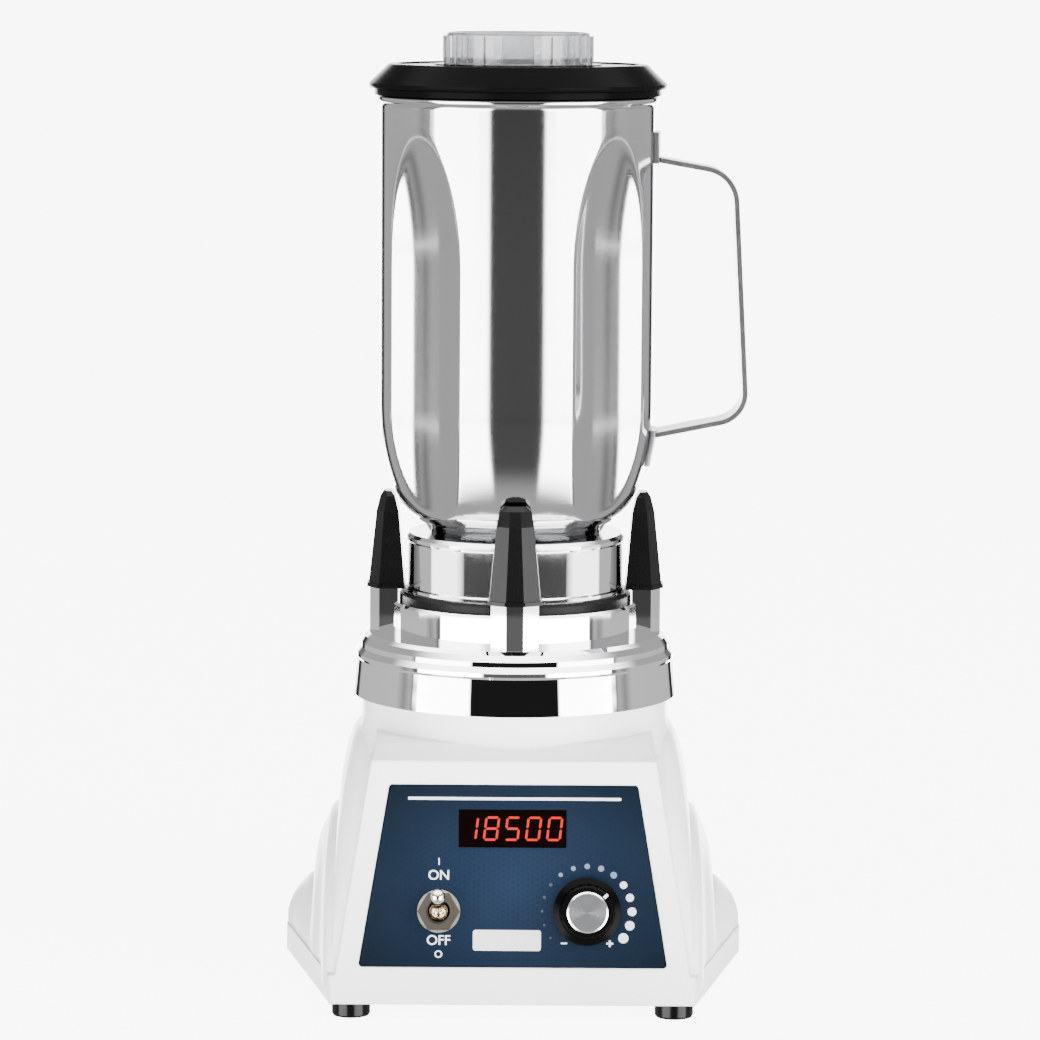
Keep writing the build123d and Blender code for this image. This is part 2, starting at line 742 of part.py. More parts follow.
def jar_eighth(inset):
    """An eighth of the jar's form, from beside the handle to the middle of a flute."""
    form = revolve(Plane.XZ * jar_outline(inset), Axis.Z, 45)
    distance = jar_radius + groove_radius - groove_depth
    section = Pos(distance, 0, groove_full_z) * Circle(groove_radius + inset)
    upright = extrude(section, 120, dir=(0, 0, -1))
    leaning = extrude(section, 120, dir=(groove_depth, 0, groove_start_z - groove_full_z))
    return form - Rot(0, 0, 45) * (upright + leaning)


def jar_body():
    bead = make_face(Polyline((jar_radius - 0.5, 352.4), (jar_radius + 0.4, 352.4), (jar_radius + 1.1, 353.2),
                              (jar_radius + 1.1, 354.4), (jar_radius + 0.4, jar_top_z),
                              (jar_radius - 0.5, jar_top_z), close=True))
    piece = jar_eighth(0.0) + revolve(Plane.XZ * bead, Axis.Z, 45)
    piece = piece - jar_eighth(jar_wall) - rod(shaft_hole_radius, 170, 190)
    other = mirror(piece, Plane(origin=(0, 0, 0), z_dir=(-1, 1, 0)))
    eighths = around(piece, 4) + around(other, 4)
    return eighths[0].fuse(*eighths[1:])


def jar_base():
    ring = turned([
        (40.6, pad_top_z), (jar_base_radius, pad_top_z), (jar_base_radius, 158.0), (43.2, 158.6), (43.2, 176.4),
        (jar_base_radius - 0.2, 177.2), (jar_base_radius - 0.2, 178.6), (jar_base_radius - 1.2, jar_floor_z),
        (shaft_hole_radius, jar_floor_z), (shaft_hole_radius, 177.0), (40.6, 177.0),
    ])
    return ring


def jar_handle():
    """A bent strip with a curved flange at each end, welded to the jar."""
    route = [(57.0, 329.9), (86.6, 324.6), (92.0, 227.5), (55.8, 220.2)]
    bends = [14.0, 12.0]
    path = Plane.XZ * FilletPolyline(*route, radius=bends)
    section = Plane(origin=path @ 0, x_dir=(0, 1, 0), z_dir=path % 0) * Rectangle(handle_width, handle_thickness)
    strip = sweep(section, path=path)
    spread = degrees(2 * asin(handle_width / 2 / jar_radius))
    top_flange = sector(jar_radius + 2.1, jar_radius + 0.1, 328.6, 341.0, 0, spread)
    wall_line = [(52.15, 207.5), (54.2, 207.5), (56.4, 219.0), (56.7, 222.0), (54.75, 222.0), (54.4, 219.0)]
    outline = Plane.XZ * make_face(Polyline(*wall_line, close=True))
    bottom_flange = Rot(0, 0, -spread / 2) * revolve(outline, Axis.Z, spread)
    return strip + top_flange + bottom_flange


# Blade bearing in the jar's floor
def jar_gasket():
    return tube(16.0, 9.3, inner_floor_z, inner_floor_z + 1.0)


def blade_housing():
    body = turned([(0, 171.0), (9.0, 171.0), (9.0, 182.2), (17.0, 182.2), (17.0, 183.7), (12.0, 186.7), (8.0, 190.2),
                   (0, 190.2)])
    body = body - rod(blade_shaft_radius + 0.4, 160, 195)
    return body - rod(5.5, 170, 176) - rod(5.5, 182.7, 187.0) - rod(6.0, 187.0, 192)


def jar_nut():
    return hexagon_prism(28.0, 171.5, 177.0) - rod(9.05, 160, 190)


def blade_bushings():
    lower = tube(5.45, blade_shaft_radius + run_gap, 171.0, 176.0)
    upper = tube(5.45, blade_shaft_radius + run_gap, 182.7, 187.0)
    return separate([lower, upper])


def shaft_seal():
    return tube(5.95, blade_shaft_radius + run_gap, 187.0, 189.8)


def driven_coupling():
    body = turned([(0, 150.0), (11.0, 150.0), (11.0, 165.0), (7.0, 166.5), (7.0, 170.0), (0, 170.0)])
    body = body - hexagon_prism(hex_stud + 0.8, 149.0, stud_top_z + 0.4)
    return body - rod(blade_shaft_radius + 0.02, 160, 171)


def blade_shaft():
    lower = rod(blade_shaft_radius, 163.6, 190.7)
    return lower + rod(4.8, 190.6, 192.2) + rod(2.4, 192.1, 201.0)


def blade_pair(low, reach, droop):
    """Two blades on one hub. The tips turn up or down and one edge is sharpened."""
    hub = brick(-7.0, 7.0, -5.0, 5.0, low, low + 1.6)
    profile = [(6.0, 0), (17.0, 0), (reach, droop), (reach - 0.3, droop + 1.6), (16.6, 1.6), (6.0, 1.6)]
    arm = extrude(Plane.XZ * make_face(Polyline(*profile, close=True)), 5.0, both=True)
    outline = Polygon((5.0, -5.0), (14.0, -5.0), (reach, -1.0), (reach, 3.4), (14.0, 4.6), (5.0, 5.0), align=None)
    arm = Pos(0, 0, low) * arm & extrude(outline, 400, both=True)
    return joined([hub] + around(arm, 2)) - rod(2.45, low - 1, low + 3)


def lower_blades():
    return blade_pair(192.2, 27.0, -3.0)


def upper_blades():
    return Rot(0, 0, 90) * blade_pair(193.8, 27.0, 9.0)


def blade_nut():
    return hexagon_prism(8.0, 195.4, 199.0) - rod(2.45, 190, 203)


# Lid
def lid():
    body = turned([
        (lid_hole_radius, 363.0), (46.0, 363.0), (46.0, 346.0), (52.2, 346.0), (53.4, 347.5), (53.4, jar_top_z),
        (57.2, jar_top_z), (57.2, 357.6), (59.0, 358.0), (59.4, 358.8), (59.4, 359.8), (51.8, 367.2),
        (51.0, lid_top_z), (48.4, lid_top_z), (48.0, 366.9), (33.5, 366.9), (33.2, lid_top_z),
        (lid_hole_radius, lid_top_z),
    ])
    return body


def lid_cap():
    """A clear cup: a narrow well in the lid's hole and a ribbed rim that rests on the lid."""
    well = lid_hole_radius - 0.4
    cup = turned([
        (0, 350.0), (well - 1.2, 350.0), (well, 351.2), (well, lid_top_z), (lid_cap_radius - 1.2, lid_top_z),
        (lid_cap_radius - 1.2, 379.0), (lid_cap_radius - 1.8, total_height), (lid_cap_radius - 3.2, total_height),
        (lid_cap_radius - 3.2, 370.0), (well - 2.0, 368.0), (well - 2.0, 352.0), (0, 352.0),
    ])
    rib = brick(lid_cap_radius - 1.5, lid_cap_radius, -1.6, 1.6, lid_top_z, 378.6)
    return cup + joined(around(rib, 24))


# Mains inlet and motor control at the rear
def power_inlet():
    body = brick(-inlet_width / 2, inlet_width / 2, 80.0, rear_y, -inlet_height / 2, inlet_height / 2)
    flange = brick(-25.0, 25.0, rear_y, rear_y + 2.5, -12.5, 12.5)
    flange = fillet(flange.edges().filter_by(Axis.Y), 5.0)
    shape = body + flange
    shape = shape - brick(-12.2, 12.2, 89.0, rear_y + 3, -8.2, 8.2)
    for side in (-1, 1):
        shape = shape - Pos(side * 20, rear_y, 0) * Rot(90, 0, 0) * Cylinder(1.7, 10)
        shape = shape - Pos(side * 20, rear_y + 2.5, 0) * Rot(90, 0, 0) * Cylinder(3.0, 3.2)
    return Pos(inlet_x, 0, inlet_z) * shape


def inlet_pins():
    pins = []
    for x, z in [(-7.0, 2.0), (0.0, -2.0), (7.0, 2.0)]:
        pins.append(brick(x - 1.0, x + 1.0, 89.0, 101.5, z - 2.0, z + 2.0))
        pins.append(brick(x - 0.4, x + 0.4, 72.0, 80.0, z - 3.1, z + 3.1))
    return separate([Pos(inlet_x, 0, inlet_z) * pin for pin in pins])


def small_screws():
    """One size of screw holds the inlet, the control board and the display board."""
    screw = pan_screw(2.8, 1.5, 1.5, 8.0)
    placed = [Pos(x, y, board_z + board_thickness) * screw for x, y in board_corners]
    for side in (-1, 1):
        placed.append(Pos(inlet_x + side * 20, rear_y + 0.9, inlet_z) * Rot(-90, 0, 0) * screw)
    depth = -display_boss_depth - board_thickness
    for x, v in display_screw_places:
        placed.append(on_panel(display_x, display_z) * Pos(x, v, depth) * Rot(180, 0, 0) * screw)
    return separate(placed)


def control_board():
    """The motor control: its board and the three capacitors that stand on it."""
    board = brick(-14.0, 54.0, 50.0, 94.0, board_z, board_z + board_thickness)
    for x, y in board_corners:
        board = board - rod(1.6, 10, 20, x, y)
    capacitors = [rod(8.0, board_z + board_thickness, 48.0, x, 66.0) for x in (6.0, 24.0, 42.0)]
    return separate([board] + capacitors)


def board_heatsink():
    low = board_z + board_thickness
    base = brick(4.0, 46.0, 80.0, 83.0, low, 52.0)
    fins = [brick(x, x + 1.6, 82.9, 91.0, low, 52.0) for x in (4.0, 12.1, 20.2, 28.3, 36.4, 44.4)]
    return joined([base] + fins)


# Every piece by name
pieces = {
    "base_housing": base_housing,
    "base_plate": base_plate,
    "feet": feet,
    "base_screws": base_screws,
    "collar": collar,
    "collar_screws": collar_screws,
    "post_caps": post_caps,
    "jar_seat_pad": jar_seat_pad,
    "control_panel": control_panel,
    "display_window": display_window,
    "led_display": led_display,
    "display_board": display_board,
    "toggle_body": toggle_body,
    "toggle_washer": toggle_washer,
    "toggle_nut": toggle_nut,
    "toggle_lever": toggle_lever,
    "speed_knob": speed_knob,
    "knob_cap": knob_cap,
    "knob_pointer": knob_pointer,
    "pot_shaft": pot_shaft,
    "potentiometer": potentiometer,
    "pot_nut": pot_nut,
    "top_bracket": top_bracket,
    "bottom_bracket": bottom_bracket,
    "motor_bearings": motor_bearings,
    "stator_core": stator_core,
    "field_coils": field_coils,
    "motor_bolts": motor_bolts,
    "brush_holders": brush_holders,
    "brushes": brushes,
    "brush_springs": brush_springs,
    "vibration_mounts": vibration_mounts,
    "speed_sensor": speed_sensor,
    "motor_shaft": motor_shaft,
    "tach_magnet": tach_magnet,
    "armature_core": armature_core,
    "armature_windings": armature_windings,
    "commutator": commutator,
    "cooling_fan": cooling_fan,
    "drive_coupling": drive_coupling,
    "jar_body": jar_body,
    "jar_base": jar_base,
    "jar_handle": jar_handle,
    "jar_gasket": jar_gasket,
    "blade_housing": blade_housing,
    "jar_nut": jar_nut,
    "blade_bushings": blade_bushings,
    "shaft_seal": shaft_seal,
    "driven_coupling": driven_coupling,
    "blade_shaft": blade_shaft,
    "lower_blades": lower_blades,
    "upper_blades": upper_blades,
    "blade_nut": blade_nut,
    "lid": lid,
    "lid_cap": lid_cap,
    "power_inlet": power_inlet,
    "inlet_pins": inlet_pins,
    "small_screws": small_screws,
    "control_board": control_board,
    "board_heatsink": board_heatsink,
}

for name, make in pieces.items():
    export_step(make(), f"parts/{name}.step")
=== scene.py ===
import math
import bpy
import numpy as np
from mathutils import Matrix, Vector


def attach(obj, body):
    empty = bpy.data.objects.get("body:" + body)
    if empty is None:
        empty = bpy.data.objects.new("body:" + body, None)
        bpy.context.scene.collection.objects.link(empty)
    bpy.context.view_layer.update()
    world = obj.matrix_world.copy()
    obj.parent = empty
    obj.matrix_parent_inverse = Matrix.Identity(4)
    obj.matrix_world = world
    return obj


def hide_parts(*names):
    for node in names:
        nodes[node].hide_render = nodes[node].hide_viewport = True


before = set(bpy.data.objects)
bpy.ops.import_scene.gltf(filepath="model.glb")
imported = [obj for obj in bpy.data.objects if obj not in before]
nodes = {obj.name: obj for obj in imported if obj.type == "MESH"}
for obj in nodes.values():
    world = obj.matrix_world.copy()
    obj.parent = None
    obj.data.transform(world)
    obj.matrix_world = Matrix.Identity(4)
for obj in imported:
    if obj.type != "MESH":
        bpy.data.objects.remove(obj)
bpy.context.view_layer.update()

# Looks of the laboratory blender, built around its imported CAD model.
# Metres, +Z up, front towards -Y, handle towards +X. The jar and the panel's print are set in millimetres.

mm = 0.001


# Helpers for objects and node trees
def link(obj):
    bpy.context.scene.collection.objects.link(obj)
    return obj


def grey(tone):
    return (tone, tone, tone, 1)


# Links a socket where the value is another node's output, and sets it otherwise
def feed(tree, socket, value):
    if isinstance(value, bpy.types.NodeSocket):
        tree.links.new(value, socket)
    else:
        socket.default_value = value


def maths(tree, kind, *values):
    node = tree.nodes.new("ShaderNodeMath")
    node.operation = kind
    for socket, value in zip(node.inputs, values):
        feed(tree, socket, value)
    return node.outputs[0]


# Carries a value from one range to another
def mapRange(tree, source, fromEnds, toEnds=(0.0, 1.0), kind="LINEAR"):
    node = tree.nodes.new("ShaderNodeMapRange")
    node.interpolation_type = kind
    labels = ("Value", "From Min", "From Max", "To Min", "To Max")
    for label, value in zip(labels, (source, *fromEnds, *toEnds)):
        feed(tree, node.inputs[label], value)
    return node.outputs["Result"]


def blend(tree, share, a, b):
    node = tree.nodes.new("ShaderNodeMix")
    node.data_type = "RGBA"
    for label, value in (("Factor", share), ("A", a), ("B", b)):
        feed(tree, node.inputs[label], value)
    return node.outputs["Result"]


def newMaterial(name):
    material = bpy.data.materials.new(name)
    material.use_nodes = True
    tree = material.node_tree
    return material, tree, tree.nodes["Principled BSDF"]


# Camera and studio
studio = {
    "cameraPlace": (0.0018, -1.774, 0.4133),
    "pitchDown": 7.35,              # degrees below level
    "roll": 0.35,                   # degrees
    "focal": 153.6,
    "sensor": 36.0,
    "farEnd": 200.0,
    "backdrop": 12.0,               # the white that the camera sees behind the floor
    "floorHalf": 60.0,
    "floorTone": 0.60,
    "floorRough": 0.9,
    "floorSpecular": 0.1,
    "floorGlow": 7.5,               # the floor's own light, for the camera
    "floorBounce": (1.4, 11.0),     # and for matt surfaces, from behind and from the front
    "bounceReach": (0.05, -0.50),   # the places along Y between which the first becomes the second
    "dome": (0.3, 3.0),             # soft light on matt surfaces, from the sides and from the front
    "lamps": {                      # place, aim, width and height, watts
        "topSoft": ((0.1, -0.3, 1.9), (0, 0, 0.15), (1.6, 1.6), 5),
        "leftSoft": ((-1.6, -1.3, 0.9), (0, 0, 0.2), (0.9, 1.6), 8),
        "rightSoft": ((1.6, -1.3, 0.9), (0, 0, 0.2), (0.9, 1.6), 50),
    },
    # What polished metal sees round it: angle away from the front, in degrees, and its tone
    "narrowBand": [(0, 0.14), (22, 0.14), (25, 20.0), (73, 20.0), (74, 0.15), (77, 0.2), (80, 0.66),
                   (86, 0.36), (93, 0.78), (146, 0.72), (150, 0.04), (157, 0.04), (161, 14.0)],
    "ringBand": [(0, 0.06), (56, 0.10), (66, 4.6), (100, 4.6), (103, 0.7), (146, 0.7), (150, 0.03),
                 (157, 0.03), (161, 4.6)],
    "wideBand": [(0, 0.014), (31, 0.014), (33, 14.0), (77, 14.0), (78, 0.25), (82, 1.2), (146, 1.0),
                 (150, 0.02), (157, 0.02), (161, 8.0)],
    "upperBand": [(0, 0.5), (24, 0.6), (34, 9.0), (73, 9.0), (76, 0.2), (80, 0.5), (146, 0.5), (150, 0.2),
                  (157, 0.2), (161, 6.0)],
    "floorSeen": 0.8,
    "topTone": 0.5,
    "ceiling": 7.0,
    # Upward part of the direction where one band gives way to the next, from below to above
    "floorStart": (-0.72, -0.50),
    "ringStart": (-0.1500, -0.1488),
    "narrowStart": (-0.1355, -0.1325),
    "wideStart": (-0.035, -0.012),
    "upperStart": (0.08, 0.14),
    "topStart": (0.20, 0.27),
    "ceilingStart": (0.55, 0.80),
}


def buildCamera(s):
    data = bpy.data.cameras.new("photoCamera")
    data.lens = s["focal"]
    data.sensor_width = s["sensor"]
    data.sensor_fit = "HORIZONTAL"
    data.clip_end = s["farEnd"]
    data.dof.use_dof = False
    camera = link(bpy.data.objects.new("photoCamera", data))
    tilt = Matrix.Rotation(math.radians(90 - s["pitchDown"]), 4, "X")
    roll = Matrix.Rotation(math.radians(s["roll"]), 4, "Z")
    camera.matrix_world = Matrix.Translation(s["cameraPlace"]) @ tilt @ roll
    bpy.context.scene.camera = camera


# Matt surfaces are lit by a plain dome. Polished ones see two light walls either side of a dark gap, with
# grey flanks, a pale ceiling and a grey floor. The camera sees a white backdrop.
def buildSurround(s):
    world = bpy.data.worlds.new("studio")
    bpy.context.scene.world = world
    world.use_nodes = True
    tree = world.node_tree
    tree.nodes.clear()
    coord = tree.nodes.new("ShaderNodeTexCoord")
    split = tree.nodes.new("ShaderNodeSeparateXYZ")
    tree.links.new(coord.outputs["Generated"], split.inputs[0])
    front = maths(tree, "MULTIPLY", split.outputs["Y"], -1.0)
    turn = maths(tree, "ABSOLUTE", maths(tree, "ARCTAN2", split.outputs["X"], front))
    away = maths(tree, "DIVIDE", turn, math.pi)     # angle from the front, as a share of half a turn

    def band(key):
        ramp = tree.nodes.new("ShaderNodeValToRGB")
        stops = ramp.color_ramp.elements
        while len(stops) < len(s[key]):
            stops.new(0.5)
        for stop, (angle, tone) in zip(stops, s[key]):
            stop.position = angle / 180
            stop.color = grey(tone)
        tree.links.new(away, ramp.inputs[0])
        return ramp.outputs["Color"]

    narrow = band("narrowBand")
    layers = {"floorStart": narrow, "ringStart": band("ringBand"), "narrowStart": narrow,
              "wideStart": band("wideBand"), "upperStart": band("upperBand"),
              "topStart": grey(s["topTone"]), "ceilingStart": grey(s["ceiling"])}
    walls = grey(s["floorSeen"])
    for start, tone in layers.items():
        rise = mapRange(tree, split.outputs["Z"], s[start], kind="SMOOTHSTEP")
        walls = blend(tree, rise, walls, tone)

    def background(colour):
        node = tree.nodes.new("ShaderNodeBackground")
        feed(tree, node.inputs["Color"], colour)
        return node.outputs[0]

    def choose(*sources):
        node = tree.nodes.new("ShaderNodeMixShader")
        for socket, source in zip(node.inputs, sources):
            tree.links.new(source, socket)
        return node.outputs[0]

    path = tree.nodes.new("ShaderNodeLightPath")
    dome = mapRange(tree, front, (0.0, 1.0), s["dome"])
    whole = choose(path.outputs["Is Diffuse Ray"], background(walls), background(dome))
    whole = choose(path.outputs["Is Camera Ray"], whole, background(grey(s["backdrop"])))
    output = tree.nodes.new("ShaderNodeOutputWorld")
    tree.links.new(whole, output.inputs["Surface"])


def buildLamp(name, place, aim, size, power):
    data = bpy.data.lights.new(name, "AREA")
    data.shape = "RECTANGLE"
    data.size, data.size_y = size
    data.energy = power
    lamp = link(bpy.data.objects.new(name, data))
    turn = (Vector(aim) - Vector(place)).to_track_quat("-Z", "Y")
    lamp.matrix_world = Matrix.Translation(place) @ turn.to_matrix().to_4x4()
    lamp.visible_camera = False
    lamp.visible_glossy = False


# A wide flat sheet with a glow of its own, one for the camera and one for matt surfaces
def buildFloor(s):
    half = s["floorHalf"]
    mesh = bpy.data.meshes.new("studioFloor")
    corners = [(-half, -half, 0), (half, -half, 0), (half, half, 0), (-half, half, 0)]
    mesh.from_pydata(corners, [], [(0, 1, 2, 3)])
    floor = link(bpy.data.objects.new("studioFloor", mesh))
    floor.visible_glossy = False
    paper, tree, shader = newMaterial("floorPaper")
    shader.inputs["Base Color"].default_value = grey(s["floorTone"])
    shader.inputs["Roughness"].default_value = s["floorRough"]
    shader.inputs["Specular IOR Level"].default_value = s["floorSpecular"]
    shader.inputs["Emission Color"].default_value = grey(1)
    path = tree.nodes.new("ShaderNodeLightPath")
    coord = tree.nodes.new("ShaderNodeTexCoord")
    split = tree.nodes.new("ShaderNodeSeparateXYZ")
    tree.links.new(coord.outputs["Object"], split.inputs[0])
    bounce = mapRange(tree, split.outputs["Y"], s["bounceReach"], s["floorBounce"], "SMOOTHSTEP")
    soft = maths(tree, "MULTIPLY", path.outputs["Is Diffuse Ray"], bounce)
    glow = maths(tree, "MULTIPLY_ADD", path.outputs["Is Camera Ray"], s["floorGlow"], soft)
    tree.links.new(glow, shader.inputs["Emission Strength"])
    mesh.materials.append(paper)


buildCamera(studio)
buildSurround(studio)
buildFloor(studio)
for name, (place, aim, size, power) in studio["lamps"].items():
    buildLamp(name, place, aim, size, power)
print("studio ready")


# Shared effects, as shader node groups
def newGroup(name, inputs, outputs):
    group = bpy.data.node_groups.new(name, "ShaderNodeTree")
    for label, kind, value in inputs:
        socket = group.interface.new_socket(name=label, in_out="INPUT", socket_type=kind)
        socket.default_value = value
    for label, kind in outputs:
        group.interface.new_socket(name=label, in_out="OUTPUT", socket_type=kind)
    return group, group.nodes.new("NodeGroupInput"), group.nodes.new("NodeGroupOutput")


def noise(tree, place, scale, detail, rough=0.5):
    node = tree.nodes.new("ShaderNodeTexNoise")
    for label, value in (("Vector", place), ("Scale", scale), ("Detail", detail), ("Roughness", rough)):
        feed(tree, node.inputs[label], value)
    return node.outputs["Fac"]


# Noise on the object's own coordinates, squeezed by Stretch so that it runs in fine lines
def stretchedGrain():
    group, start, end = newGroup(
        "stretchedGrain",
        [("Stretch", "NodeSocketVector", (1, 1, 1)), ("Scale", "NodeSocketFloat", 1.0),
         ("Low", "NodeSocketFloat", 0.2), ("High", "NodeSocketFloat", 0.4)],
        [("Height", "NodeSocketFloat"), ("Roughness", "NodeSocketFloat")])
    coord = group.nodes.new("ShaderNodeTexCoord")
    squeeze = group.nodes.new("ShaderNodeVectorMath")
    squeeze.operation = "MULTIPLY"
    group.links.new(coord.outputs["Object"], squeeze.inputs[0])
    group.links.new(start.outputs["Stretch"], squeeze.inputs[1])
    lines = noise(group, squeeze.outputs[0], start.outputs["Scale"], detail=4.0, rough=0.65)
    spread = mapRange(group, lines, (0.3, 0.7), (start.outputs["Low"], start.outputs["High"]))
    group.links.new(lines, end.inputs["Height"])
    group.links.new(spread, end.inputs["Roughness"])
    return group


# Slow patches over fine speckle: a colour that wanders between two tones, and a roughness with it
def mottle():
    group, start, end = newGroup(
        "mottle",
        [("Tone A", "NodeSocketColor", (0.5, 0.5, 0.5, 1)), ("Tone B", "NodeSocketColor", (0.6, 0.6, 0.6, 1)),
         ("Patch Scale", "NodeSocketFloat", 30.0), ("Speckle Scale", "NodeSocketFloat", 900.0),
         ("Low", "NodeSocketFloat", 0.3), ("High", "NodeSocketFloat", 0.5)],
        [("Color", "NodeSocketColor"), ("Roughness", "NodeSocketFloat"), ("Height", "NodeSocketFloat")])
    coord = group.nodes.new("ShaderNodeTexCoord")
    patch = noise(group, coord.outputs["Object"], start.outputs["Patch Scale"], detail=2.0)
    speckle = noise(group, coord.outputs["Object"], start.outputs["Speckle Scale"], detail=2.0)
    tone = blend(group, patch, start.outputs["Tone A"], start.outputs["Tone B"])
    spread = mapRange(group, patch, (0.35, 0.65), (start.outputs["Low"], start.outputs["High"]))
    group.links.new(tone, end.inputs["Color"])
    group.links.new(spread, end.inputs["Roughness"])
    group.links.new(speckle, end.inputs["Height"])
    return group


# A close six-sided net of dots over a panel: the sum of three waves, one along X and two slanting
def dotWeave():
    group, start, end = newGroup(
        "dotWeave",
        [("Pitch", "NodeSocketFloat", 0.0016)],
        [("Dots", "NodeSocketFloat")])
    coord = group.nodes.new("ShaderNodeTexCoord")
    waves = []
    for slopeX, slopeZ in ((1.0, 0.0), (0.5, 0.866), (-0.5, 0.866)):
        along = group.nodes.new("ShaderNodeVectorMath")
        along.operation = "DOT_PRODUCT"
        along.inputs[1].default_value = (slopeX, 0, slopeZ)
        group.links.new(coord.outputs["Object"], along.inputs[0])
        phase = maths(group, "DIVIDE", along.outputs["Value"], start.outputs["Pitch"])
        waves.append(maths(group, "COSINE", maths(group, "MULTIPLY", phase, 2 * math.pi)))
    total = maths(group, "ADD", maths(group, "ADD", waves[0], waves[1]), waves[2])
    group.links.new(mapRange(group, total, (-1.2, 1.6)), end.inputs["Dots"])
    return group


groups = {"grain": stretchedGrain(), "mottle": mottle(), "dots": dotWeave()}


# Materials
def placeGroup(tree, key, values):
    node = tree.nodes.new("ShaderNodeGroup")
    node.node_tree = groups[key]
    for label, value in values.items():
        node.inputs[label].default_value = value
    return node


def addBump(tree, shader, height, strength, distance):
    bump = tree.nodes.new("ShaderNodeBump")
    bump.inputs["Strength"].default_value = strength
    bump.inputs["Distance"].default_value = distance
    tree.links.new(height, bump.inputs["Height"])
    tree.links.new(bump.outputs["Normal"], shader.inputs["Normal"])
    return bump


# Metal with fine tool marks. rough is its smoothest and roughest. A directional finish has lines round the
# along axis, so its reflections spread across those lines.
def metalFinish(name, tone, rough, stretch=(1, 1, 1), scale=400.0, bump=0.15, depth=0.00002, directional=0.0,
                along="Z"):
    material, tree, shader = newMaterial(name)
    shader.inputs["Metallic"].default_value = 1.0
    shader.inputs["Base Color"].default_value = tone + (1,)
    grain = placeGroup(tree, "grain", {"Stretch": stretch, "Scale": scale, "Low": rough[0], "High": rough[1]})
    tree.links.new(grain.outputs["Roughness"], shader.inputs["Roughness"])
    addBump(tree, shader, grain.outputs["Height"], bump, depth)
    if directional:
        shader.inputs["Anisotropic"].default_value = directional
        shader.inputs["Anisotropic Rotation"].default_value = 0.25      # a quarter turn off the tangent
        tangent = tree.nodes.new("ShaderNodeTangent")
        tangent.direction_type = "RADIAL"
        tangent.axis = along
        tree.links.new(tangent.outputs[0], shader.inputs["Tangent"])
    return material


# Plastic, rubber, paint or board: two close tones in slow patches, with fine speckle in relief. coat is the
# weight and roughness of a clear coat, and edge the radius in metres that its corners seem to have.
def mouldedFinish(name, toneA, toneB, rough, patch=25.0, speckle=1500.0, bump=0.1, depth=0.00003,
                  specular=0.5, coat=None, edge=0.0):
    material, tree, shader = newMaterial(name)
    surface = placeGroup(tree, "mottle", {"Tone A": toneA + (1,), "Tone B": toneB + (1,),
                                          "Patch Scale": patch, "Speckle Scale": speckle,
                                          "Low": rough[0], "High": rough[1]})
    tree.links.new(surface.outputs["Color"], shader.inputs["Base Color"])
    tree.links.new(surface.outputs["Roughness"], shader.inputs["Roughness"])
    shader.inputs["Specular IOR Level"].default_value = specular
    if coat:
        shader.inputs["Coat Weight"].default_value, shader.inputs["Coat Roughness"].default_value = coat
    relief = addBump(tree, shader, surface.outputs["Height"], bump, depth)
    if edge:
        corner = tree.nodes.new("ShaderNodeBevel")
        corner.samples = 6
        corner.inputs["Radius"].default_value = edge
        tree.links.new(corner.outputs[0], relief.inputs["Normal"])
    return material


# Clear moulded plastic, faintly clouded
def clearFinish(name, toneA, toneB, rough, clearness, ior, **surface):
    material = mouldedFinish(name, toneA, toneB, rough, **surface)
    shader = material.node_tree.nodes["Principled BSDF"]
    shader.inputs["Transmission Weight"].default_value = clearness
    shader.inputs["IOR"].default_value = ior
    return material


# Lit bars with a slightly uneven glow. unlit is the share of the tone that they have without it.
def glowFinish(name, tone, strength, uneven=0.9, unlit=0.02):
    material, tree, shader = newMaterial(name)
    weaker = tuple(uneven * part for part in tone)
    surface = placeGroup(tree, "mottle", {"Tone A": tone + (1,), "Tone B": weaker + (1,),
                                          "Patch Scale": 200.0, "Speckle Scale": 900.0,
                                          "Low": 0.3, "High": 0.4})
    shader.inputs["Base Color"].default_value = tuple(unlit * part for part in tone) + (1,)
    tree.links.new(surface.outputs["Color"], shader.inputs["Emission Color"])
    tree.links.new(surface.outputs["Roughness"], shader.inputs["Roughness"])
    shader.inputs["Emission Strength"].default_value = strength
    return material


panelLook = {
    # The first four entries paint a pool of light in the panel's middle and shade towards its edges
    "paintedLightCentre": (0.002, -0.085, 0.050),
    "paintedLightReach": (0.085, 0.5, 0.060),
    "paintedShadeTone": (0.0010, 0.0026, 0.0048),
    "paintedLightTone": (0.0062, 0.0150, 0.0340),
    "dotPitch": 0.0019,
    "dotDepth": 0.30,
    "dotTone": (0.0030, 0.0065, 0.0130),
    "specular": 0.08,
    "patch": 40.0,
    "speckle": 2500.0,
    "rough": (0.32, 0.42),
    "bump": 0.08,
    "bumpDepth": 0.00002,
}
